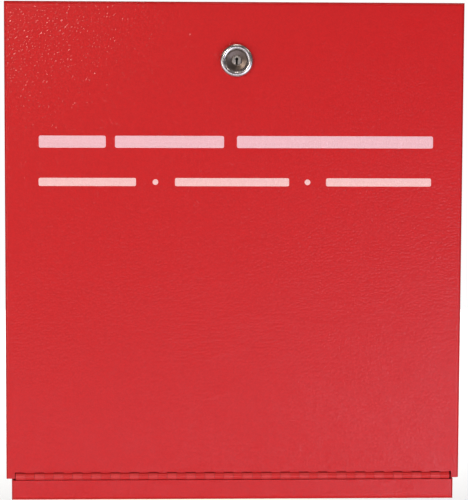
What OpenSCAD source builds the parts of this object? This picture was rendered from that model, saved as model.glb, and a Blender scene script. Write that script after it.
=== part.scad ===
// Wall-mounted fire alarm document box: a red sheet-steel box with a full-face door that drops down on a
// continuous hinge along its lower edge, closed by a key cam lock.
//
// Millimetres. +Z is up and -Y is the front. The origin is the centre of the four wall screw holes, on the
// outer face of the back panel, so y = 0 is the wall.

/* [Box] */
// Outside width of the box
box_w = 297.6; // [240:0.1:420]
// Outside height of the box
box_h = 331.4; // [250:0.1:460]
// Depth from the wall to the front face
depth = 57.15; // [45:0.05:90]
// Thickness of the sheet steel
sheet_t = 1.2; // [0.9:0.1:1.5]
// Outside radius of the bends
bend_r = 2.2; // [1.8:0.1:3]
// Height of the front lip below the hinge
lip_h = 13.4; // [9:0.1:20]
// Height of the flange that hangs from the top wall behind the door
return_h = 12.7; // [9:0.1:16]
// Depth cut off the side walls beside the hinge
relief_d = 3.6; // [3:0.1:6]
// Height of that cut above the front lip
relief_h = 9; // [6:0.5:14]

/* [Wall holes] */
// Distance from a side of the box to its wall holes
wall_hole_side = 21.8; // [12:0.1:40]
// Distance from the top or bottom of the box to its wall holes
wall_hole_end = 26; // [12:0.1:60]
// Diameter of a wall hole
wall_hole_d = 7.1; // [5:0.1:9]

/* [Door] */
// Depth of the flanges round the door
flange_d = 19.05; // [14:0.05:28]
// Gap between a side wall and a door flange
side_gap = 2.4; // [1.6:0.1:4]
// Gap between the top wall and the door's top flange
top_gap = 0.8; // [0.5:0.1:2]
// Gap between the door's back face and the box's front edges
seat_gap = 0.5; // [0.3:0.1:1]
// How far the door's lower corners reach below the hinge pin
corner_drop = 1.5; // [0.5:0.1:1.8]
// Gap between the front lip and the door when it hangs right down
open_gap = 0.2; // [0.1:0.05:0.4]

/* [Hinge] */
// Length of one knuckle with its gap
knuckle_pitch = 6.35; // [5:0.05:12.7]
// Gap between two knuckles
knuckle_gap = 0.15; // [0.1:0.05:0.3]
// Least distance from the end of the hinge to the outside of the box
hinge_end_gap = 2.6; // [2.4:0.1:8]
// Gap between the left end of the hinge and the door's corner
hinge_gap_left = 0.4; // [0.3:0.1:1.2]
// Gap between the right end of the hinge and the door's corner
hinge_gap_right = 1.2; // [0.3:0.1:1.2]
// Radial clearance of the pin in the knuckles
pin_clear = 0.05; // [0.02:0.01:0.1]
// Thickness of a hinge leaf
leaf_t = 0.9; // [0.7:0.05:1.2]
// Gap between the door's sheet and the knuckles of its own leaf
own_gap = 0.05; // [0.05:0.05:0.3]
// Gap between the other knuckles and the edges of the sheets
barrel_gap = 0.5; // [0.4:0.05:0.8]
// Gap between the lower leaf's edge and the bottom of the box
leaf_edge_gap = 1.2; // [1:0.1:3]

/* [Lock] */
// Distance from the top of the door to the lock
lock_down = 38.5; // [34:0.5:60]
// Distance of the lock to the right of the door's middle
lock_side = 1; // [0:0.5:10]
// Diameter of the lock's barrel
lock_barrel_d = 19; // [16:0.1:24]
// How far the lock's head reaches past the barrel
lock_head_rim = 1.5; // [1.2:0.1:3]
// Height of the lock's head in front of the door
lock_head_h = 4.2; // [3.4:0.1:6]
// Depth of each of the two flats on the barrel
lock_flat = 1.5; // [0.8:0.1:1.6]
// Clearance of the barrel in the door's hole
lock_hole_clear = 0.1; // [0.05:0.05:0.3]
// Wall of the nut outside the barrel
nut_wall = 1.6; // [1.2:0.1:3]
// Thickness of the nut
nut_t = 3; // [2:0.1:3.4]
// Thickness of the washer under the nut
washer_t = 0.8; // [0.5:0.1:1.2]
// Rim of that washer past the nut's flats
washer_rim = 1.5; // [1.2:0.1:2.5]
// Diameter of the plug's shank
plug_d = 11.2; // [10.6:0.1:11.6]
// How far the plug's face reaches past its shank
plug_rim = 1.6; // [0.8:0.1:1.8]
// Length of the plug's shank behind its last wafer
plug_end = 1.8; // [1.2:0.1:8]
// Radial clearance of the plug in the housing
plug_clear = 0.05; // [0.02:0.01:0.1]
// Number of wafers
wafer_count = 5; // [3:1:5]
// Distance between two wafers
wafer_pitch = 1.9; // [1.5:0.05:2.4]
// Width of the cam
cam_w = 12.7; // [10:0.1:13]
// Thickness of the cam
cam_t = 2; // [1.5:0.1:2.5]
// Gap between the locked cam and the back of the top flange
cam_gap = 1.2; // [0.3:0.1:1.5]
// Gap between the locked cam's tip and the top wall
cam_tip_gap = 3.5; // [1.5:0.1:6]
// Turn of the key between its two stops
key_turn = 90; // [90:15:180]

/* [Key hooks] */
// Reach of a key hook from the side wall
hook_reach = 24; // [18:1:32]
// Diameter of the hook wire
hook_wire_d = 3; // [2.5:0.1:4]
// Radius of the hook's bend, to the middle of the wire
hook_bend = 5; // [4:0.5:6]
// Distance from the wall behind the box to the hook wire
hook_from_wall = 30; // [16:1:34]
// Distance from the top of the box down to the upper hook
hook_down = 69; // [30:1:90]
// Distance between the two hooks
hook_spacing = 42; // [32:1:60]

/* [Legend sheet and card pockets] */
// Width of the legend sheet
sheet_w = 215.9; // [180:0.1:230]
// Thickness of the legend sheet
paper_t = 0.3; // [0.2:0.05:0.5]
// Distance from the lock's axis down to the legend sheet
sheet_down = 26; // [22:1:40]
// Width of a card pocket
pocket_w = 98; // [94:1:104]
// Height of a card pocket
pocket_h = 60; // [56:1:66]
// Thickness of a card pocket
pocket_t = 1.8; // [1.6:0.1:2.4]
// Thickness of the pocket's film
film_t = 0.3; // [0.2:0.05:0.4]
// Width of the pocket's welded seams
seam_w = 2.5; // [2:0.1:4]
// Gap between the sheet and the pockets, and between the pockets
pocket_gap = 10; // [6:1:16]
// Gap between the pockets and the hinge leaf
pocket_hinge_gap = 5; // [3:1:20]

/* [Memory stick] */
// Width of the stick's case
stick_w = 18; // [16:0.1:22]
// Thickness of the case
stick_t = 8.4; // [8:0.1:10]
// Length of the case
stick_l = 44; // [40:1:56]
// Wall of the case
stick_wall = 1.2; // [1:0.1:1.6]
// Distance from the right wall of the box to the middle of the stick
stick_side = 30; // [16:1:40]
// Height of the stick's lower end above the bottom of the box
stick_up = 73; // [10:1:90]
// Thickness of the clip's steel
clip_t = 1; // [0.8:0.1:1.2]
// Height of the clip
clip_h = 24; // [16:1:30]
// Clearance of the stick in the clip
clip_clear = 0.15; // [0.1:0.05:0.3]

/* [Hidden] */
$fn = 64;

// Cutters reach this far past what they cut.
over = 5;

// Two pieces that are one solid reach this far into each other.
sink = 0.5;

// Box
box_bottom = -box_h / 2;
box_top = box_h / 2;
inner_w = box_w - 2 * sheet_t;
bend_inside_r = bend_r - sheet_t;
door_back_y = -(depth - sheet_t);
box_front_y = door_back_y + seat_gap;
return_back_y = box_front_y + sheet_t;
lip_top_z = box_bottom + lip_h;

// Door
door_w = box_w + 2 * side_gap + 2 * sheet_t;
door_top = box_top + top_gap + sheet_t;

// Hinge. The leaves lie on the back of the door and of the front lip, so the bore's radius is what carries
// the door past the lip when it hangs right down. A leaf's back is just inside its knuckles' back.
leaf_inset = 0.05;
knuckle_pairs = floor((box_w - 2 * hinge_end_gap) / (2 * knuckle_pitch));
hinge_l = 2 * knuckle_pairs * knuckle_pitch;
knuckle_l = knuckle_pitch - knuckle_gap;
bore_r = sheet_t + open_gap / 2;
pin_r = bore_r - pin_clear;
knuckle_r = bore_r + leaf_t + leaf_inset;
hinge_y = door_back_y - bore_r;
sheet_edge = knuckle_r + barrel_gap;
hinge_z = lip_top_z + sheet_edge;
leaf_w = lip_h + sheet_edge - sheet_t - leaf_edge_gap;

// Lock. Its pieces are drawn along their own axis, with z = 0 on the door's front face and +z to the front.
lock_z = door_top - lock_down;
barrel_r = lock_barrel_d / 2;
lock_flats = lock_barrel_d - 2 * lock_flat;
head_r = barrel_r + lock_head_rim;
nut_af = lock_barrel_d + 2 * nut_wall;
rim_r = 2;
rim_centre_r = head_r - rim_r;
rim_z = lock_head_h - rim_r;
face_seat_z = 1;
face_down = 1.5;
face_r = plug_d / 2 + plug_rim;
face_rim = 0.7;
face_z = lock_head_h - face_down;
dish_depth = 0.6;
dish_z = face_z - dish_depth;
key_boss_r = 3.4;
key_boss_down = 1;
key_boss_z = lock_head_h - key_boss_down;
key_boss_chamfer = 0.6;
keyway_w = 1.3;
keyway_lobe_r = 1.05;
keyway_top = 1.9;
keyway_bottom = -3;
index_r = 0.85;
index_gap = 0.1;
index_at = face_r - face_rim - index_r - index_gap;
wafer_t = 1;
wafer_clear = 0.05;
wafer_slot_t = wafer_t + 2 * wafer_clear;
wafer_w = 5;
wafer_window_room = [1, 0.3];
wafer_window = [keyway_w, keyway_top - keyway_bottom] + wafer_window_room;
wafer_window_y = (keyway_top + keyway_bottom) / 2;
wafer_step = 0.3;
wafer_first_z = -0.6;
keyway_end_z = wafer_first_z - (wafer_count - 1) * wafer_pitch - wafer_slot_t;
lock_barrel_l = plug_end - keyway_end_z;
spring_coil_r = 0.38;
spring_wire_r = 0.11;
spring_turns = 4;
spring_pocket = [1.2, 5.4];
spring_pocket_y = -2;
spring_x = (wafer_w + spring_pocket[0]) / 2;
lug_y = 2.2;
lug_h = 0.8;
stop_t = 1;
stop_wall = 1;
stop_r = lock_flats / 2 - stop_wall;
stop_lug_r = barrel_r - stop_wall / 2;
stop_lug_angle = 40;
stop_clear = 0.1;
stop_slack_angle = 0.5;
stop_front_z = -lock_barrel_l - stop_clear;
tail_w = 6;
tail_clear = 0.05;
cam_l = lock_down - 2 * sheet_t - top_gap - cam_tip_gap;
cam_front_z = stop_front_z - stop_t;
cam_back_z = cam_front_z - cam_t;
cam_tip_z = -(return_back_y + depth + cam_gap);
cam_hub_r = lock_flats / 2;
cam_nut_gap = 2.2;
cam_step_r = nut_af / 2 / cos(30) + cam_nut_gap;
cam_tip_round = 2;
screw_r = 2;
screw_clear = 0.1;
screw_hole_l = 4;
screw_head_r = 4;
screw_head_h = 2.4;
screw_cross = [4.4, 0.9, 1.3];
lock_washer_t = 0.8;
lock_washer_r = 4.4;
lock_washer_split = 0.6;

// Key hooks
hook_plate = [22, 14];
hook_plate_round = 2;
hook_tip_h = 5;
hook_z = box_top - hook_down;

// Legend sheet and card pockets
legend_top = lock_z - sheet_down;
pocket_bottom = hinge_z + leaf_w + pocket_hinge_gap;
pocket_top = pocket_bottom + pocket_h;
legend_bottom = pocket_top + pocket_gap;
pocket_x = (pocket_w + pocket_gap) / 2;
thumb_r = 9;

// Memory stick. Its pieces are drawn with z = 0 at the lower end of the case and y = 0 on its parting line.
stick_x = inner_w / 2 - stick_side;
stick_z = box_bottom + stick_up;
stick_y = -(sheet_t + clip_t + clip_clear + stick_t / 2);
stick_round = 1.5;
clip_round = 0.3;
clip_lip = 3;
board_t = 1;
board_end_gap = 0.5;
connector = [12, 4.5, 18];
connector_wall = 0.3;
connector_in = 6;
connector_z = stick_l - connector_in;
connector_hole = 2.2;
connector_hole_x = 2.8;
connector_hole_up = 6.5;
tongue = [connector[0] - 2 * connector_wall, 1.9, 16.5];
tongue_front = connector[1] / 2 - connector_wall - tongue[1];
contact = [1, 0.2, 9];
contact_count = 4;
contact_pitch = 2.4;
contact_end_gap = 0.8;
chip_memory = [12, 1.2, 14];
chip_memory_up = 8;
chip_controller = [7, 0.9, 7];
chip_controller_up = 22;

// Shared shapes

// A rectangle centred on the origin with round corners.
module round_rect(w, h, r) {
  square([w - 2 * r, h], center = true);
  square([w, h - 2 * r], center = true);
  for (x = [-1, 1], y = [-1, 1])
    translate([x * (w / 2 - r), y * (h / 2 - r)]) circle(r);
}

// Extrudes a drawing of x and y up the z axis, from z0 to z1.
module up(z0, z1) {
  translate([0, 0, z0]) linear_extrude(z1 - z0) children();
}

// Extrudes a side view, drawn as y and z, to w wide, centred on x = 0.
module across(w) {
  rotate([90, 0, 90]) linear_extrude(w, center = true) children();
}

// A rectangle from corner a to corner b.
module span(a, b) {
  translate(a) square(b - a);
}

// Moves a lock piece from its own axis to the door.
module at_lock() {
  translate([lock_side, -depth, lock_z]) rotate([90, 0, 0]) children();
}

// Moves a stick piece to its clip.
module at_stick() {
  translate([stick_x, stick_y, stick_z]) children();
}

// The lock barrel's outline: a circle with two flats. grow makes it larger all round.
module double_d(grow = 0) {
  intersection() {
    circle(barrel_r + grow);
    square([lock_flats + 2 * grow, lock_barrel_d + 2 * grow + over], center = true);
  }
}

// Box

// The box's outline from the side: full depth at the lip, then cut back beside the hinge.
module box_side() {
  difference() {
    union() {
      translate([box_front_y / 2, 0]) round_rect(-box_front_y, box_h, bend_r);
      intersection() {
        translate([-depth / 2, 0]) round_rect(depth, box_h, bend_r);
        span([-depth, box_bottom], [-depth / 2, lip_top_z]);
      }
    }
    span([-depth - over, lip_top_z], [-depth + relief_d, lip_top_z + relief_h]);
  }
}

// The hollow from the side. It is deeper behind the front lip than behind the top flange.
module box_hollow() {
  inner_h = box_h - 2 * sheet_t;
  translate([(return_back_y - sheet_t) / 2, 0])
    round_rect(-return_back_y - sheet_t, inner_h, bend_inside_r);
  intersection() {
    translate([(door_back_y - sheet_t) / 2, 0])
      round_rect(-door_back_y - sheet_t, inner_h, bend_inside_r);
    span([-depth, box_bottom], [0, lip_top_z]);
  }
}

module back_box() {
  color([0.72, 0.05, 0.06]) difference() {
    intersection() {
      across(box_w) box_side();
      up(box_bottom, box_top) translate([0, -depth / 2]) round_rect(box_w, depth, bend_r);
    }
    intersection() {
      across(inner_w) union() {
        box_hollow();
        span([-depth - over, lip_top_z], [-depth / 2, box_top - return_h]);
      }
      up(box_bottom, box_top) translate([0, -depth / 2 - sheet_t])
        round_rect(inner_w, depth, bend_inside_r);
    }
    for (x = [-1, 1], z = [-1, 1])
      translate([x * (box_w / 2 - wall_hole_side), over, z * (box_h / 2 - wall_hole_end)])
        rotate([90, 0, 0]) cylinder(d = wall_hole_d, h = sheet_t + 2 * over);
  }
}

// Hinge

// Puts its children at the left end of each knuckle of one leaf: first = 0 takes the leftmost knuckle and
// every second one after it.
module at_knuckles(first) {
  for (i = [first : 2 : 2 * knuckle_pairs - 1])
    translate([-hinge_l / 2 + i * knuckle_pitch + knuckle_gap / 2, 0, 0]) children();
}

// One leaf with its plate upward and its pin axis along x. Tongues run from the plate into the knuckles. The
// pin is staked in the leftmost knuckle, and turns freely in all the others.
module hinge_leaf(first) {
  difference() {
    union() {
      at_knuckles(first) {
        rotate([0, 90, 0]) cylinder(r = knuckle_r, h = knuckle_l);
        translate([0, bore_r, 0]) cube([knuckle_l, leaf_t, sheet_edge + sink]);
      }
      translate([-hinge_l / 2, bore_r, sheet_edge]) cube([hinge_l, leaf_t, leaf_w - sheet_edge]);
    }
    rotate([0, 90, 0]) cylinder(r = pin_r, h = hinge_l + 2 * over, center = true);
    translate([knuckle_pitch, 0, 0]) rotate([0, 90, 0]) cylinder(r = bore_r, h = hinge_l, center = true);
  }
}

module hinge_lower_leaf() {
  color([0.72, 0.05, 0.06]) translate([0, hinge_y, hinge_z]) mirror([0, 0, 1]) hinge_leaf(0);
}

module hinge_upper_leaf() {
  color([0.72, 0.05, 0.06]) translate([0, hinge_y, hinge_z]) hinge_leaf(1);
}

module hinge_pin() {
  color([0.7, 0.7, 0.72]) translate([0, hinge_y, hinge_z])
    rotate([0, 90, 0]) cylinder(r = pin_r, h = hinge_l, center = true);
}

// Door

// The door's outline from the side, from height z0 up to its fold. inset moves the outline inward, and r is
// the radius of the fold.
module door_side(z0, inset, r) {
  top = door_top - inset;
  front = -depth + inset;
  difference() {
    span([front, z0], [-depth + flange_d + inset, top]);
    translate([front, top - r]) difference() {
      span([-over, 0], [r, r + over]);
      translate([r, 0]) circle(r);
    }
  }
}

// What the hinge takes out of the door's lower edge. The sheet still reaches down to the door's own knuckles.
module door_notch() {
  difference() {
    translate([(hinge_gap_right - hinge_gap_left) / 2, 0, 0])
      across(hinge_l + hinge_gap_left + hinge_gap_right)
        span([-depth - over, box_bottom], [-depth + flange_d + over, hinge_z + sheet_edge]);
    translate([0, -depth - 2 * over, hinge_z + knuckle_r + own_gap])
      at_knuckles(1) cube([knuckle_l, 3 * over, barrel_gap]);
  }
}

module door_panel() {
  color([0.78, 0.06, 0.07]) difference() {
    intersection() {
      across(door_w) door_side(hinge_z - corner_drop, 0, bend_r);
      up(box_bottom, door_top) translate([0, -depth / 2]) round_rect(door_w, depth, bend_r);
    }
    intersection() {
      across(door_w) door_side(box_bottom, sheet_t, bend_inside_r);
      up(box_bottom, door_top) translate([0, -depth / 2 + sheet_t])
        round_rect(door_w - 2 * sheet_t, depth, bend_inside_r);
    }
    door_notch();
    at_lock() up(-over, over) double_d(lock_hole_clear);
  }
}

// Lock

// The teardrop keyhole: a round lobe over a narrow slot.
module keyhole() {
  translate([0, keyway_top - keyway_lobe_r]) circle(keyway_lobe_r);
  span([-keyway_w / 2, keyway_bottom], [keyway_w / 2, keyway_top - keyway_lobe_r]);
}

// A sector of a disc of radius r, starting at angle a and turning by sweep, which is under 360.
module sector(r, a, sweep) {
  steps = ceil(sweep / 60);
  reach = 2 * r;
  intersection() {
    circle(r);
    polygon(concat([[0, 0]], [
      for (i = [0 : steps]) reach * [cos(a + sweep * i / steps), sin(a + sweep * i / steps)],
    ]));
  }
}

// The skirt behind the barrel stops the stop washer's lug at both ends of the key's turn.
module lock_housing() {
  skirt_angle = 360 - key_turn - stop_lug_angle;
  color([0.78, 0.78, 0.8]) at_lock() difference() {
    union() {
      rotate_extrude() {
        span([0, 0], [head_r, rim_z]);
        translate([rim_centre_r, rim_z]) circle(rim_r);
      }
      up(-lock_barrel_l, sink) double_d();
      up(cam_front_z + stop_clear, sink - lock_barrel_l) intersection() {
        double_d();
        sector(barrel_r + over, key_turn + stop_lug_angle / 2, skirt_angle);
      }
    }
    up(face_seat_z, lock_head_h + over) circle(face_r + plug_clear);
    up(cam_front_z - over, over) circle(plug_d / 2 + plug_clear);
    up(cam_front_z - over, -lock_barrel_l) circle(stop_r + stop_clear);
  }
}

module lock_washer() {
  color([0.7, 0.7, 0.72]) at_lock() up(-sheet_t - washer_t, -sheet_t) difference() {
    circle(nut_af / 2 + washer_rim);
    double_d(lock_hole_clear);
  }
}

module lock_nut() {
  color([0.72, 0.66, 0.45]) at_lock() up(-sheet_t - washer_t - nut_t, -sheet_t - washer_t) difference() {
    circle(nut_af / 2 / cos(30), $fn = 6);
    circle(barrel_r);
  }
}

// Where wafer i sits along the plug.
function wafer_z(i) = wafer_first_z - i * wafer_pitch;

module lock_plug() {
  color([0.55, 0.54, 0.52]) at_lock() difference() {
    union() {
      rotate_extrude() polygon([
        [0, face_seat_z + plug_clear], [face_r, face_seat_z + plug_clear], [face_r, face_z],
        [face_r - face_rim, face_z], [key_boss_r, dish_z], [key_boss_r, key_boss_z - key_boss_chamfer],
        [key_boss_r - key_boss_chamfer, key_boss_z], [0, key_boss_z],
      ]);
      up(-lock_barrel_l, face_seat_z + sink) circle(plug_d / 2);
      up(cam_back_z + tail_clear, sink - lock_barrel_l) square(tail_w, center = true);
      up(face_seat_z + sink, face_z) translate([0, -index_at]) circle(index_r);
    }
    up(keyway_end_z, lock_head_h + over) keyhole();
    for (i = [0 : wafer_count - 1]) up(wafer_z(i) - wafer_slot_t, wafer_z(i)) {
      square([wafer_w, plug_d + over], center = true);
      span([0, spring_pocket_y], [wafer_w / 2, spring_pocket_y] + spring_pocket);
    }
    up(cam_back_z - over, cam_back_z + screw_hole_l) circle(screw_r);
  }
}

// The wafers stand level with the plug, as a key holds them. Every second window is cut a step higher.
module lock_wafers() {
  color([0.8, 0.66, 0.36]) at_lock() for (i = [0 : wafer_count - 1])
    up(wafer_z(i) - wafer_slot_t + wafer_clear, wafer_z(i) - wafer_clear) difference() {
      union() {
        intersection() {
          square([wafer_w - 2 * wafer_clear, plug_d], center = true);
          circle(plug_d / 2 - wafer_clear);
        }
        span([0, lug_y], [wafer_w / 2 + spring_pocket[0] - wafer_clear, lug_y + lug_h]);
      }
      translate([0, wafer_window_y + wafer_step * (i % 2)]) square(wafer_window, center = true);
    }
}

// A coil spring along y, swept as one closed tube.
module coil_spring(coil_r, wire_r, turns, length) {
  sides = 5;
  per_turn = 8;
  rings = turns * per_turn;
  points = [
    for (i = [0 : rings], s = [0 : sides - 1])
      let (a = 360 * i / per_turn, b = 360 * s / sides, r = coil_r + wire_r * cos(b))
        [r * cos(a), wire_r * sin(b) + wire_r + (length - 2 * wire_r) * i / rings, r * sin(a)]
  ];
  ends = [[for (s = [0 : sides - 1]) s], [for (s = [sides - 1 : -1 : 0]) rings * sides + s]];
  walls = [
    for (i = [0 : rings - 1], s = [0 : sides - 1])
      let (a = i * sides + s, b = i * sides + (s + 1) % sides)
        each [[a, a + sides, b], [b, a + sides, b + sides]]
  ];
  polyhedron(points, concat(ends, walls));
}

module wafer_springs() {
  length = lug_y - spring_pocket_y - 2 * wafer_clear;
  color([0.6, 0.6, 0.62]) at_lock() for (i = [0 : wafer_count - 1])
    translate([spring_x, spring_pocket_y + wafer_clear, wafer_z(i) - wafer_slot_t / 2])
      coil_spring(spring_coil_r, spring_wire_r, spring_turns, length);
}

module stop_washer() {
  lug = stop_lug_angle - 2 * stop_slack_angle;
  color([0.7, 0.7, 0.72]) at_lock() up(cam_front_z, stop_front_z) difference() {
    union() {
      circle(stop_r);
      sector(stop_lug_r, -lug / 2, lug);
    }
    square(tail_w + 2 * tail_clear, center = true);
  }
}

// The cam points to the right when unlocked. Its arm steps forward beside the nut, so that its tip reaches
// close behind the top flange.
module lock_cam() {
  color([0.74, 0.68, 0.48]) at_lock() difference() {
    union() {
      up(cam_back_z, cam_front_z) {
        circle(cam_hub_r);
        span([0, -cam_w / 2], [cam_step_r + cam_t, cam_w / 2]);
      }
      up(cam_back_z, cam_tip_z) span([cam_step_r, -cam_w / 2], [cam_step_r + cam_t, cam_w / 2]);
      up(cam_tip_z - cam_t, cam_tip_z) intersection() {
        span([cam_step_r, -cam_w / 2], [cam_l, cam_w / 2]);
        translate([cam_l / 2, 0]) round_rect(cam_l, cam_w, cam_tip_round);
      }
    }
    up(cam_back_z - over, cam_front_z + over) square(tail_w + 2 * tail_clear, center = true);
  }
}

module cam_lock_washer() {
  color([0.7, 0.7, 0.72]) at_lock() up(cam_back_z - lock_washer_t, cam_back_z) difference() {
    circle(lock_washer_r);
    circle(screw_r + screw_clear);
    span([-lock_washer_split / 2, 0], [lock_washer_split / 2, lock_washer_r + over]);
  }
}

module cam_screw() {
  head_z = cam_back_z - lock_washer_t;
  back_z = head_z - screw_head_h;
  color([0.75, 0.75, 0.77]) at_lock() difference() {
    union() {
      up(back_z, head_z) circle(screw_head_r);
      up(head_z - sink, cam_back_z + screw_hole_l - screw_clear) circle(screw_r);
    }
    for (a = [0, 90]) up(back_z - over, back_z + screw_cross[2])
      rotate(a) square([screw_cross[0], screw_cross[1]], center = true);
  }
}

// Key hooks: a wire hook on a plate that is welded to the inside of the right wall.
module key_hook(z) {
  r = hook_wire_d / 2;
  run = hook_reach - r - hook_bend;
  color([0.75, 0.75, 0.77]) translate([inner_w / 2, -hook_from_wall, z]) {
    rotate([0, -90, 0]) up(0, sheet_t) round_rect(hook_plate[0], hook_plate[1], hook_plate_round);
    rotate([0, -90, 0]) cylinder(r = r, h = run);
    translate([-run, 0, hook_bend]) rotate([90, 0, 0]) rotate([0, 0, 180])
      rotate_extrude(angle = 90) translate([hook_bend, 0]) circle(r);
    translate([-run - hook_bend, 0, hook_bend]) {
      cylinder(r = r, h = hook_tip_h);
      translate([0, 0, hook_tip_h]) sphere(r);
    }
  }
}

module key_hook_upper() {
  key_hook(hook_z);
}

module key_hook_lower() {
  key_hook(hook_z - hook_spacing);
}

// Legend sheet and card pockets, on the door's back face

module legend_sheet() {
  color([0.95, 0.94, 0.9])
    translate([-sheet_w / 2, door_back_y, legend_bottom])
      cube([sheet_w, paper_t, legend_top - legend_bottom]);
}

// A clear pocket with welded sides and bottom, and a thumb cut in the lip of its front film.
module card_pocket(x) {
  color([0.85, 0.9, 0.95, 0.5]) translate([x, door_back_y, pocket_bottom]) difference() {
    translate([-pocket_w / 2, 0, 0]) cube([pocket_w, pocket_t, pocket_h]);
    translate([-pocket_w / 2 + seam_w, film_t, seam_w])
      cube([pocket_w - 2 * seam_w, pocket_t - 2 * film_t, pocket_h]);
    translate([0, film_t, pocket_h]) rotate([-90, 0, 0]) cylinder(r = thumb_r, h = pocket_t);
  }
}

module card_pocket_left() {
  card_pocket(-pocket_x);
}

module card_pocket_right() {
  card_pocket(pocket_x);
}

// Memory stick and its clip

// A channel that is welded to the back panel and holds the stick by its sides, with a stop under it.
module memory_clip() {
  inside_w = stick_w + 2 * clip_clear;
  inside_t = stick_t + 2 * clip_clear;
  outside_t = inside_t + 2 * clip_t;
  color([0.75, 0.75, 0.77]) translate([stick_x, -sheet_t, stick_z]) {
    up(-clip_t, clip_h) translate([0, -outside_t / 2]) difference() {
      round_rect(inside_w + 2 * clip_t, outside_t, clip_t + clip_round);
      round_rect(inside_w, inside_t, clip_round);
      span([-inside_w / 2 + clip_lip, -outside_t], [inside_w / 2 - clip_lip, 0]);
    }
    up(-clip_t, 0) span([-clip_lip, -outside_t + clip_t], [clip_lip, -clip_t / 2]);
  }
}

// One half of the case: side = 1 is the back half, against the clip, and side = -1 the front half.
module stick_shell(side) {
  at_stick() difference() {
    up(0, stick_l) intersection() {
      round_rect(stick_w, stick_t, stick_round);
      span([-stick_w / 2, min(0, side * stick_t)], [stick_w / 2, max(0, side * stick_t)]);
    }
    up(stick_wall, stick_l - stick_wall)
      round_rect(stick_w - 2 * stick_wall, stick_t - 2 * stick_wall, stick_round - stick_wall / 2);
    up(stick_wall, stick_l + over) square([connector[0], connector[1]], center = true);
  }
}

module stick_back_shell() {
  color([0.1, 0.1, 0.11]) stick_shell(1);
}

module stick_front_shell() {
  color([0.1, 0.1, 0.11]) stick_shell(-1);
}

module stick_board() {
  inside_w = stick_w - 2 * stick_wall;
  color([0.1, 0.35, 0.2]) at_stick() up(stick_wall + board_end_gap, connector_z)
    square([inside_w, board_t], center = true);
}

module stick_memory_chip() {
  color([0.08, 0.08, 0.09]) at_stick()
    translate([-chip_memory[0] / 2, -board_t / 2 - chip_memory[1], chip_memory_up]) cube(chip_memory);
}

module stick_controller() {
  color([0.08, 0.08, 0.09]) at_stick()
    translate([-chip_controller[0] / 2, board_t / 2, chip_controller_up]) cube(chip_controller);
}

module stick_connector() {
  wall = 2 * connector_wall;
  color([0.8, 0.8, 0.82]) at_stick() difference() {
    up(connector_z, connector_z + connector[2]) square([connector[0], connector[1]], center = true);
    up(connector_z - over, connector_z + connector[2] + over)
      square([connector[0] - wall, connector[1] - wall], center = true);
    for (x = [-1, 1]) translate([x * connector_hole_x, 0, stick_l + connector_hole_up])
      cube([connector_hole, connector[1] + over, connector_hole], center = true);
  }
}

module stick_tongue() {
  color([0.92, 0.92, 0.9]) at_stick()
    translate([-tongue[0] / 2, tongue_front, connector_z]) cube(tongue);
}

module stick_contacts() {
  first_x = -(contact_count - 1) * contact_pitch / 2 - contact[0] / 2;
  low_z = connector_z + tongue[2] - contact_end_gap - contact[2];
  color([0.83, 0.68, 0.3]) at_stick() for (i = [0 : contact_count - 1])
    translate([first_x + i * contact_pitch, tongue_front - contact[1], low_z]) cube(contact);
}

back_box();
hinge_lower_leaf();
hinge_pin();
key_hook_upper();
key_hook_lower();
memory_clip();
door_panel();
hinge_upper_leaf();
lock_housing();
lock_washer();
lock_nut();
legend_sheet();
card_pocket_left();
card_pocket_right();
lock_plug();
lock_wafers();
wafer_springs();
stop_washer();
lock_cam();
cam_lock_washer();
cam_screw();
stick_back_shell();
stick_front_shell();
stick_board();
stick_memory_chip();
stick_controller();
stick_connector();
stick_tongue();
stick_contacts();
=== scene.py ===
"""The looks of a wall-mounted fire alarm document box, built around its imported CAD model."""
import math

import bpy
from mathutils import Matrix, Vector


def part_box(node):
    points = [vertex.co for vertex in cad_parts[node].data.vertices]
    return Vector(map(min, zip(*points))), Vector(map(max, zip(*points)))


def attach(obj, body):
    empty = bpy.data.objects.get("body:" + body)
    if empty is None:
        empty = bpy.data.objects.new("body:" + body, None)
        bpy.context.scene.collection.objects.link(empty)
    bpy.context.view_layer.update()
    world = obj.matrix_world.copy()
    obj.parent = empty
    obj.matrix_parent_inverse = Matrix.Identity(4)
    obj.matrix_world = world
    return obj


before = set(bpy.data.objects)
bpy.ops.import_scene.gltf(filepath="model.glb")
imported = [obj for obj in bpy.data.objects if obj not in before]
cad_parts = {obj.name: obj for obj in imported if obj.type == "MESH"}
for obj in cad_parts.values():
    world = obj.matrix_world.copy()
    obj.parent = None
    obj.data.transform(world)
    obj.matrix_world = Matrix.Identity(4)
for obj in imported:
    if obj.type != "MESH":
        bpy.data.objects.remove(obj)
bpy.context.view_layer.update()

MM = 0.001
DOOR_LO, DOOR_HI = (Vector(corner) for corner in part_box("door_panel"))
BOX_LO = Vector(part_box("back_box")[0])

# How far the ink stands out of the door, and the radius and height of the boss round the keyhole
INK_T = 0.05 * MM
BOSS_R = 3.45 * MM
BOSS_H = 1.2 * MM
# Depth of the finest relief, on plastic and on plated steel
FINE = 0.01 * MM

# The printed rows, in millimetres: how far each is below the door's top, how high its bars are, and the
# radius of their corners. The ends of the bars and the middles of the dots are to the right of the door's
# middle, or to its left where they are negative.
UPPER_DOWN, UPPER_H, UPPER_CORNER = 92.5, 8, 1.2
LOWER_DOWN, LOWER_H, LOWER_CORNER = 119.2, 5.4, 1
UPPER_BARS = [(-129.7, -85.5), (-79.4, -7.1), (1.5, 132.2)]
LOWER_BARS = [(-129.9, -65.5), (-39.6, 36.3), (61, 131.2)]
DOTS = [-52.6, 48.6]
DOT_R = 1.9

# Room between the floor and the door as it hangs open, and how far the floor reaches each way
FLOOR_GAP = 0.03
FLOOR_REACH = 4


# Camera, light and floor

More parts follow.
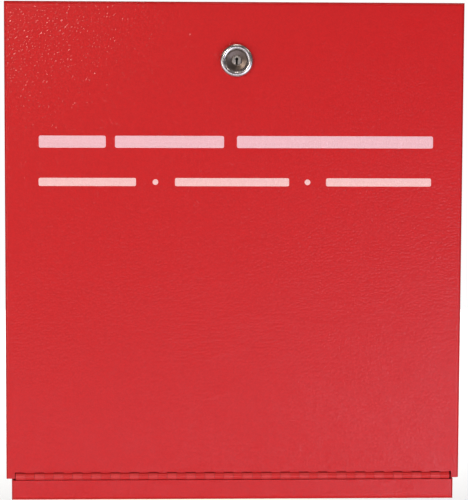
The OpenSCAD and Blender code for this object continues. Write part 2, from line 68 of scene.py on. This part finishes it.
def add_camera():
    """Stands a little to the left of the box and above its middle, looking slightly down and to the right."""
    data = bpy.data.cameras.new("camera")
    data.sensor_fit = "HORIZONTAL"
    data.sensor_width = 36
    data.lens = 165.6
    camera = bpy.data.objects.new("camera", data)
    place = Vector((-0.0593, -1.4856, 0.1367))
    yaw, pitch, roll = (math.radians(angle) for angle in (-2.37, -5.334, -0.246))
    camera.matrix_world = camera_matrix(place, yaw, pitch, roll)
    bpy.context.collection.objects.link(camera)
    bpy.context.scene.camera = camera


def camera_matrix(place, yaw, pitch, roll):
    """A camera that looks along +Y, turned by yaw about Z, then tipped by pitch, then rolled."""
    turn = Matrix.Rotation(yaw, 4, "Z") @ Matrix.Rotation(pitch, 4, "X") @ Matrix.Rotation(roll, 4, "Y")
    return Matrix.Translation(place) @ turn @ Matrix.Rotation(math.pi / 2, 4, "X")


def set_colours():
    """Shows colours as they are, with no film curve."""
    view = bpy.context.scene.view_settings
    view.view_transform = "Standard"
    view.look = "None"


def add_world():
    """White to the camera, and a dim warm room to everything that it lights."""
    world = bpy.data.worlds.new("studio")
    bpy.context.scene.world = world
    world.use_nodes = True
    nodes, links = world.node_tree.nodes, world.node_tree.links
    nodes.clear()
    seen = nodes.new("ShaderNodeBackground")
    seen.inputs["Color"].default_value = (1, 1, 1, 1)
    fill = nodes.new("ShaderNodeBackground")
    fill.inputs["Color"].default_value = (1, 0.94, 0.88, 1)
    fill.inputs["Strength"].default_value = 0.12
    path = nodes.new("ShaderNodeLightPath")
    mix = nodes.new("ShaderNodeMixShader")
    out = nodes.new("ShaderNodeOutputWorld")
    links.new(path.outputs["Is Camera Ray"], mix.inputs["Fac"])
    links.new(fill.outputs[0], mix.inputs[1])
    links.new(seen.outputs[0], mix.inputs[2])
    links.new(mix.outputs[0], out.inputs["Surface"])


def add_area(name, place, aim, size, power, colour=(1, 1, 1)):
    """A soft rectangular light at place, facing aim."""
    data = bpy.data.lights.new(name, "AREA")
    data.shape = "RECTANGLE"
    data.size, data.size_y = size
    data.energy = power
    data.color = colour
    light = bpy.data.objects.new(name, data)
    light.location = place
    light.rotation_euler = (Vector(aim) - Vector(place)).to_track_quat("-Z", "Y").to_euler()
    bpy.context.collection.objects.link(light)


def add_lights():
    """Small warm lamps high up, broad lights low in front, mostly bluish, and a wash on the floor behind."""
    warm, cool, pale_blue = (1, 0.92, 0.82), (0.76, 0.8, 1), (0.85, 0.85, 1)
    add_area("lamp_left", (-0.4, -1.15, 0.4), (0, 0, 0), (0.1, 0.1), 3.9, warm)
    add_area("lamp_top", (0.05, -0.5, 1.6), (0, 0, 0), (0.5, 0.3), 3, warm)
    add_area("lamp_right", (0.95, -0.9, 0.9), (0, 0, 0), (0.25, 0.25), 1.5, warm)
    add_area("window", (0.9, -1.4, -0.7), (0, 0, -0.1), (1.6, 1.1), 13.5, cool)
    add_area("low_left", (-1.3, -0.9, -0.35), (0, 0, -0.1), (1, 1), 7.4)
    add_area("low_right", (0.6, -0.8, -0.45), (0.1, 0, -0.1), (0.6, 0.6), 4.3, cool)
    add_area("bounce", (-0.2, -1.3, -0.62), (0, 0, -0.1), (1.8, 0.6), 12.5, pale_blue)
    add_area("floor_wash", (0, 3.4, 1.2), (0, 3.4, 0), (5, 3), 130)


def add_floor():
    """A plain pale floor, below where the open door hangs."""
    door_h = DOOR_HI.z - BOX_LO.z
    height = BOX_LO.z - door_h - FLOOR_GAP
    sides = (-FLOOR_REACH, FLOOR_REACH)
    mesh = bpy.data.meshes.new("floor")
    mesh.from_pydata([(x, y, height) for y in sides for x in sides], [], [(0, 1, 3, 2)])
    floor = bpy.data.objects.new("floor", mesh)
    bpy.context.collection.objects.link(floor)
    mesh.materials.append(pale_floor())


# Materials

class Paint:
    """A material with one Principled shader, and short calls for what is wired into it."""

    def __init__(self, name, colour, roughness, metallic=0.0):
        self.material = bpy.data.materials.new(name)
        self.material.use_nodes = True
        self.nodes = self.material.node_tree.nodes
        self.links = self.material.node_tree.links
        self.shader = self.nodes["Principled BSDF"]
        self.set("Base Color", (*colour, 1))
        self.set("Roughness", roughness)
        self.set("Metallic", metallic)
        self.place = self.nodes.new("ShaderNodeTexCoord").outputs["Object"]
        self.height = None

    def set(self, socket, value):
        self.shader.inputs[socket].default_value = value

    def noise(self, scale, detail=2.0, roughness=0.5, stretch=None):
        """Noise whose grains are about 1 / scale metres across. stretch scales it again along each axis."""
        node = self.nodes.new("ShaderNodeTexNoise")
        node.inputs["Scale"].default_value = scale
        node.inputs["Detail"].default_value = detail
        node.inputs["Roughness"].default_value = roughness
        source = self.place
        if stretch:
            mapping = self.nodes.new("ShaderNodeMapping")
            mapping.inputs["Scale"].default_value = stretch
            self.links.new(self.place, mapping.inputs["Vector"])
            source = mapping.outputs[0]
        self.links.new(source, node.inputs["Vector"])
        return node.outputs["Fac"]

    def ramp(self, value, stops):
        """Maps value to a colour between two (position, colour) stops."""
        node = self.nodes.new("ShaderNodeValToRGB")
        for element, (position, colour) in zip(node.color_ramp.elements, stops):
            element.position = position
            element.color = (*colour, 1)
        self.links.new(value, node.inputs["Fac"])
        return node.outputs["Color"]

    def grey(self, value, low, high):
        """Maps noise, which is mostly from 0.3 to 0.7, to a number from low to high."""
        node = self.nodes.new("ShaderNodeMapRange")
        node.inputs["From Min"].default_value = 0.3
        node.inputs["From Max"].default_value = 0.7
        node.inputs["To Min"].default_value = low
        node.inputs["To Max"].default_value = high
        self.links.new(value, node.inputs["Value"])
        return node.outputs["Result"]

    def math(self, operation, a, b):
        """One Math node, where a is a socket and b is a socket or a number."""
        node = self.nodes.new("ShaderNodeMath")
        node.operation = operation
        self.links.new(a, node.inputs[0])
        if isinstance(b, (int, float)):
            node.inputs[1].default_value = b
        else:
            self.links.new(b, node.inputs[1])
        return node.outputs[0]

    def lines(self, axis, pitch, width):
        """1 on thin lines that cross the given axis every pitch metres, and 0 between them."""
        node = self.nodes.new("ShaderNodeSeparateXYZ")
        self.links.new(self.place, node.inputs[0])
        phase = self.math("FLOORED_MODULO", node.outputs[axis], pitch)
        return self.math("LESS_THAN", phase, width)

    def plug(self, value, socket):
        self.links.new(value, self.shader.inputs[socket])

    def bump(self, value, distance):
        """Adds relief of the given depth in metres, on top of any earlier relief."""
        node = self.nodes.new("ShaderNodeBump")
        node.inputs["Distance"].default_value = distance
        self.links.new(value, node.inputs["Height"])
        if self.height:
            self.links.new(self.height, node.inputs["Normal"])
        self.height = node.outputs["Normal"]
        self.plug(self.height, "Normal")


def pale_floor():
    paint = Paint("pale_floor", (0.86, 0.86, 0.86), 0.9)
    paint.plug(paint.grey(paint.noise(3), 0.85, 0.95), "Roughness")
    return paint.material


def powder_coat(name, colour, gloss, peel, grain):
    """Powder coat: a soft orange peel, under a thin clear skin whose millimetre grains catch the lamps."""
    paint = Paint(name, colour, 0.5)
    paint.set("Specular IOR Level", gloss)
    paint.set("Coat Weight", 0.26)
    paint.set("Coat Roughness", 0.2)
    dark = tuple(0.95 * part for part in colour)
    light = tuple(min(1, 1.04 * part) for part in colour)
    paint.plug(paint.ramp(paint.noise(900, 3), [(0.35, dark), (0.65, light)]), "Base Color")
    paint.plug(paint.grey(paint.noise(60, 3), 0.42, 0.55), "Roughness")
    paint.bump(paint.noise(900, 2), peel)
    peeled = paint.height
    paint.bump(paint.noise(750, 0), grain)
    paint.plug(paint.height, "Coat Normal")
    paint.plug(peeled, "Normal")
    return paint.material


def plated(name, colour, roughness, scratches=0.0):
    """Plated metal with slight unevenness in its gloss and, if asked, fine marks."""
    paint = Paint(name, colour, roughness, 1.0)
    paint.plug(paint.grey(paint.noise(350, 4), roughness * 0.85, roughness * 1.15), "Roughness")
    shade = tuple(0.93 * part for part in colour)
    paint.plug(paint.ramp(paint.noise(180, 4), [(0.35, shade), (0.65, colour)]), "Base Color")
    if scratches:
        paint.bump(paint.noise(900, 2, stretch=(0.08, 0.08, 1)), scratches)
    return paint.material


def plastic(name, colour, roughness, grain):
    """Moulded plastic with a fine grain."""
    paint = Paint(name, colour, roughness)
    paint.plug(paint.grey(paint.noise(700, 3), roughness * 0.85, roughness * 1.2), "Roughness")
    shade = tuple(0.8 * part for part in colour)
    paint.plug(paint.ramp(paint.noise(250, 3), [(0.35, shade), (0.65, colour)]), "Base Color")
    paint.bump(paint.noise(1500, 2), grain)
    return paint.material


def clear_film():
    """Clear vinyl film, seen mostly by its reflections."""
    paint = Paint("clear_film", (0.8, 0.85, 0.88), 0.12)
    paint.set("Alpha", 0.14)
    paint.plug(paint.grey(paint.noise(80, 3), 0.08, 0.2), "Roughness")
    paint.bump(paint.noise(40, 2), 0.2 * MM)
    return paint.material


def ink(name, colour):
    """Screen-printed ink: thin and pale, with a little of the red showing through its grain."""
    paint = Paint(name, colour, 0.5)
    paint.set("Specular IOR Level", 0.3)
    thin = (0.97 * colour[0], 0.84 * colour[1], 0.84 * colour[2])
    paint.plug(paint.ramp(paint.noise(1500, 3), [(0.3, thin), (0.6, colour)]), "Base Color")
    paint.bump(paint.noise(1100, 1.5, 0.6), 0.1 * MM)
    return paint.material


def paper():
    """White card, ruled as a blank form."""
    row_h, column_w, rule_w = 8.5 * MM, 36 * MM, 0.35 * MM
    paint = Paint("paper", (0.88, 0.87, 0.83), 0.75)
    blank = paint.ramp(paint.noise(1200, 4), [(0.3, (0.83, 0.82, 0.78)), (0.7, (0.9, 0.89, 0.86))])
    rules = paint.math("MAXIMUM", paint.lines("Z", row_h, rule_w), paint.lines("X", column_w, rule_w))
    mix = paint.nodes.new("ShaderNodeMixRGB")
    mix.inputs["Color2"].default_value = (0.22, 0.22, 0.25, 1)
    paint.links.new(rules, mix.inputs["Fac"])
    paint.links.new(blank, mix.inputs["Color1"])
    paint.plug(mix.outputs[0], "Base Color")
    paint.bump(paint.noise(1500, 3), 0.03 * MM)
    return paint.material


# Pieces that the CAD model doesn't have

def corner_arc(x, z, radius, quarter):
    """Points of a quarter circle round x and z, counter-clockwise, in the quarter 0, 1, 2 or 3."""
    steps = 6
    for step in range(steps + 1):
        angle = math.pi / 2 * (quarter + step / steps)
        yield round(x + radius * math.cos(angle), 7), round(z + radius * math.sin(angle), 7)


def bar_outline(left, right, middle, height, corner):
    """The outline, in x and z, of a bar with rounded corners. The corners of a round dot share their ends."""
    left, right = left + corner, right - corner
    low, high = middle - height / 2 + corner, middle + height / 2 - corner
    centres = [(right, high), (left, high), (left, low), (right, low)]
    points = [point for quarter, (x, z) in enumerate(centres) for point in corner_arc(x, z, corner, quarter)]
    return list(dict.fromkeys(points))


def printed_plate(name, outline, material):
    """A thin closed plate of ink on the front of the door."""
    count = len(outline)
    points = [(x, y, z) for y in (DOOR_LO.y - INK_T, DOOR_LO.y + INK_T) for x, z in outline]
    front, back = tuple(range(count)), tuple(reversed(range(count, 2 * count)))
    sides = [(i, i + count, (i + 1) % count + count, (i + 1) % count) for i in range(count)]
    mesh = bpy.data.meshes.new(name)
    mesh.from_pydata(points, [], [front, back, *sides])
    mesh.materials.append(material)
    bar = bpy.data.objects.new(name, mesh)
    bpy.context.collection.objects.link(bar)
    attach(bar, "door")


def print_row(name, bars, down, height, corner, material):
    """A row of bars of ink, each given by its left and right ends. All sizes are in millimetres."""
    middle, row = (DOOR_LO.x + DOOR_HI.x) / 2, DOOR_HI.z - down * MM
    for number, (left, right) in enumerate(bars, 1):
        outline = bar_outline(middle + left * MM, middle + right * MM, row, height * MM, corner * MM)
        printed_plate(f"{name}_{number}", outline, material)


def add_print():
    """Two printed rows, as plain bars with round dots between those of the lower row."""
    upper, lower = ink("upper_ink", (0.9, 0.55, 0.58)), ink("lower_ink", (0.95, 0.6, 0.56))
    print_row("upper_print", UPPER_BARS, UPPER_DOWN, UPPER_H, UPPER_CORNER, upper)
    print_row("lower_print", LOWER_BARS, LOWER_DOWN, LOWER_H, LOWER_CORNER, lower)
    dots = [(x - DOT_R, x + DOT_R) for x in DOTS]
    print_row("print_dot", dots, LOWER_DOWN, 2 * DOT_R, DOT_R, lower)


def dress(material, *names):
    """Gives the CAD nodes of these names one material."""
    for name in names:
        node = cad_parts[name]
        node.data.materials.clear()
        node.data.materials.append(material)


def dress_boss(material):
    """The raised boss round the keyhole keeps a pale plated colour and shines more than the dish it stands
    in, whose near-black colour is painted shade and painted dark reflection.
    """
    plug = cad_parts["lock_plug"]
    plug.data.materials.append(material)
    low, high = Vector(plug.bound_box[0]), Vector(plug.bound_box[6])
    for face in plug.data.polygons:
        out = face.center - (low + high) / 2
        if math.hypot(out.x, out.z) < BOSS_R and face.center.y < low.y + BOSS_H:
            face.material_index = 1


def dress_box():
    """The painted steel, its hinge, and the paper and film on the back of the door."""
    peel, door_grain, leaf_grain = 0.03 * MM, 0.22 * MM, 0.1 * MM
    red = powder_coat("red_powder_coat", (0.6, 0.0065, 0.0075), 0.2, peel, door_grain)
    dress(red, "back_box", "door_panel")
    # The leaves' coats are the door's red made lighter: a painted highlight on the knuckles, strongest on the
    # lower leaf.
    dress(powder_coat("lower_leaf_coat_painted_highlight", (0.65, 0.026, 0.028), 0.42, peel, leaf_grain), "hinge_lower_leaf")
    dress(powder_coat("upper_leaf_coat_painted_highlight", (0.62, 0.015, 0.016), 0.3, peel, leaf_grain), "hinge_upper_leaf")
    # The pin is near-black as painted shade, so that the gaps between the knuckles read dark.
    dress(plastic("pin_painted_shade", (0.03, 0.012, 0.01), 0.7, FINE), "hinge_pin")
    dress(paper(), "legend_sheet")
    dress(clear_film(), "card_pocket_left", "card_pocket_right")


def dress_lock_and_hooks():
    """The cam lock, and the zinc-plated steel of the hooks and the clip."""
    dress(plated("lock_chrome", (0.58, 0.54, 0.54), 0.26), "lock_housing")
    # The plug's dish is painted near-black as painted shade and painted dark reflection, not as the plating's
    # own colour.
    dress(plated("plug_dish_painted_shade", (0.13, 0.1, 0.085), 0.36), "lock_plug")
    dress_boss(plated("plated_boss", (0.6, 0.54, 0.49), 0.3))
    dress(plated("zinc", (0.66, 0.66, 0.66), 0.32, FINE), "lock_washer", "stop_washer", "cam_lock_washer",
          "cam_screw", "key_hook_upper", "key_hook_lower", "memory_clip")
    dress(plated("yellow_zinc", (0.72, 0.6, 0.3), 0.3, FINE), "lock_cam")
    dress(plated("brass", (0.75, 0.55, 0.25), 0.28), "lock_nut", "lock_wafers")
    dress(plated("spring_wire", (0.5, 0.5, 0.5), 0.3), "wafer_springs")


def dress_memory_stick():
    """The stick's black shells, and the green board with all that it carries."""
    black = plastic("stick_black", (0.03, 0.03, 0.032), 0.35, 2 * FINE)
    dress(black, "stick_back_shell", "stick_front_shell")
    dress(plastic("board_green", (0.03, 0.16, 0.07), 0.4, FINE), "stick_board")
    dress(plastic("chip_black", (0.02, 0.02, 0.02), 0.5, FINE), "stick_memory_chip", "stick_controller")
    dress(plated("connector_nickel", (0.75, 0.74, 0.72), 0.2), "stick_connector")
    dress(plastic("tongue_white", (0.8, 0.8, 0.78), 0.45, FINE), "stick_tongue")
    dress(plated("contact_gold", (0.85, 0.62, 0.25), 0.2), "stick_contacts")


set_colours()
add_camera()
add_world()
add_lights()
add_floor()
dress_box()
dress_lock_and_hooks()
dress_memory_stick()
add_print()
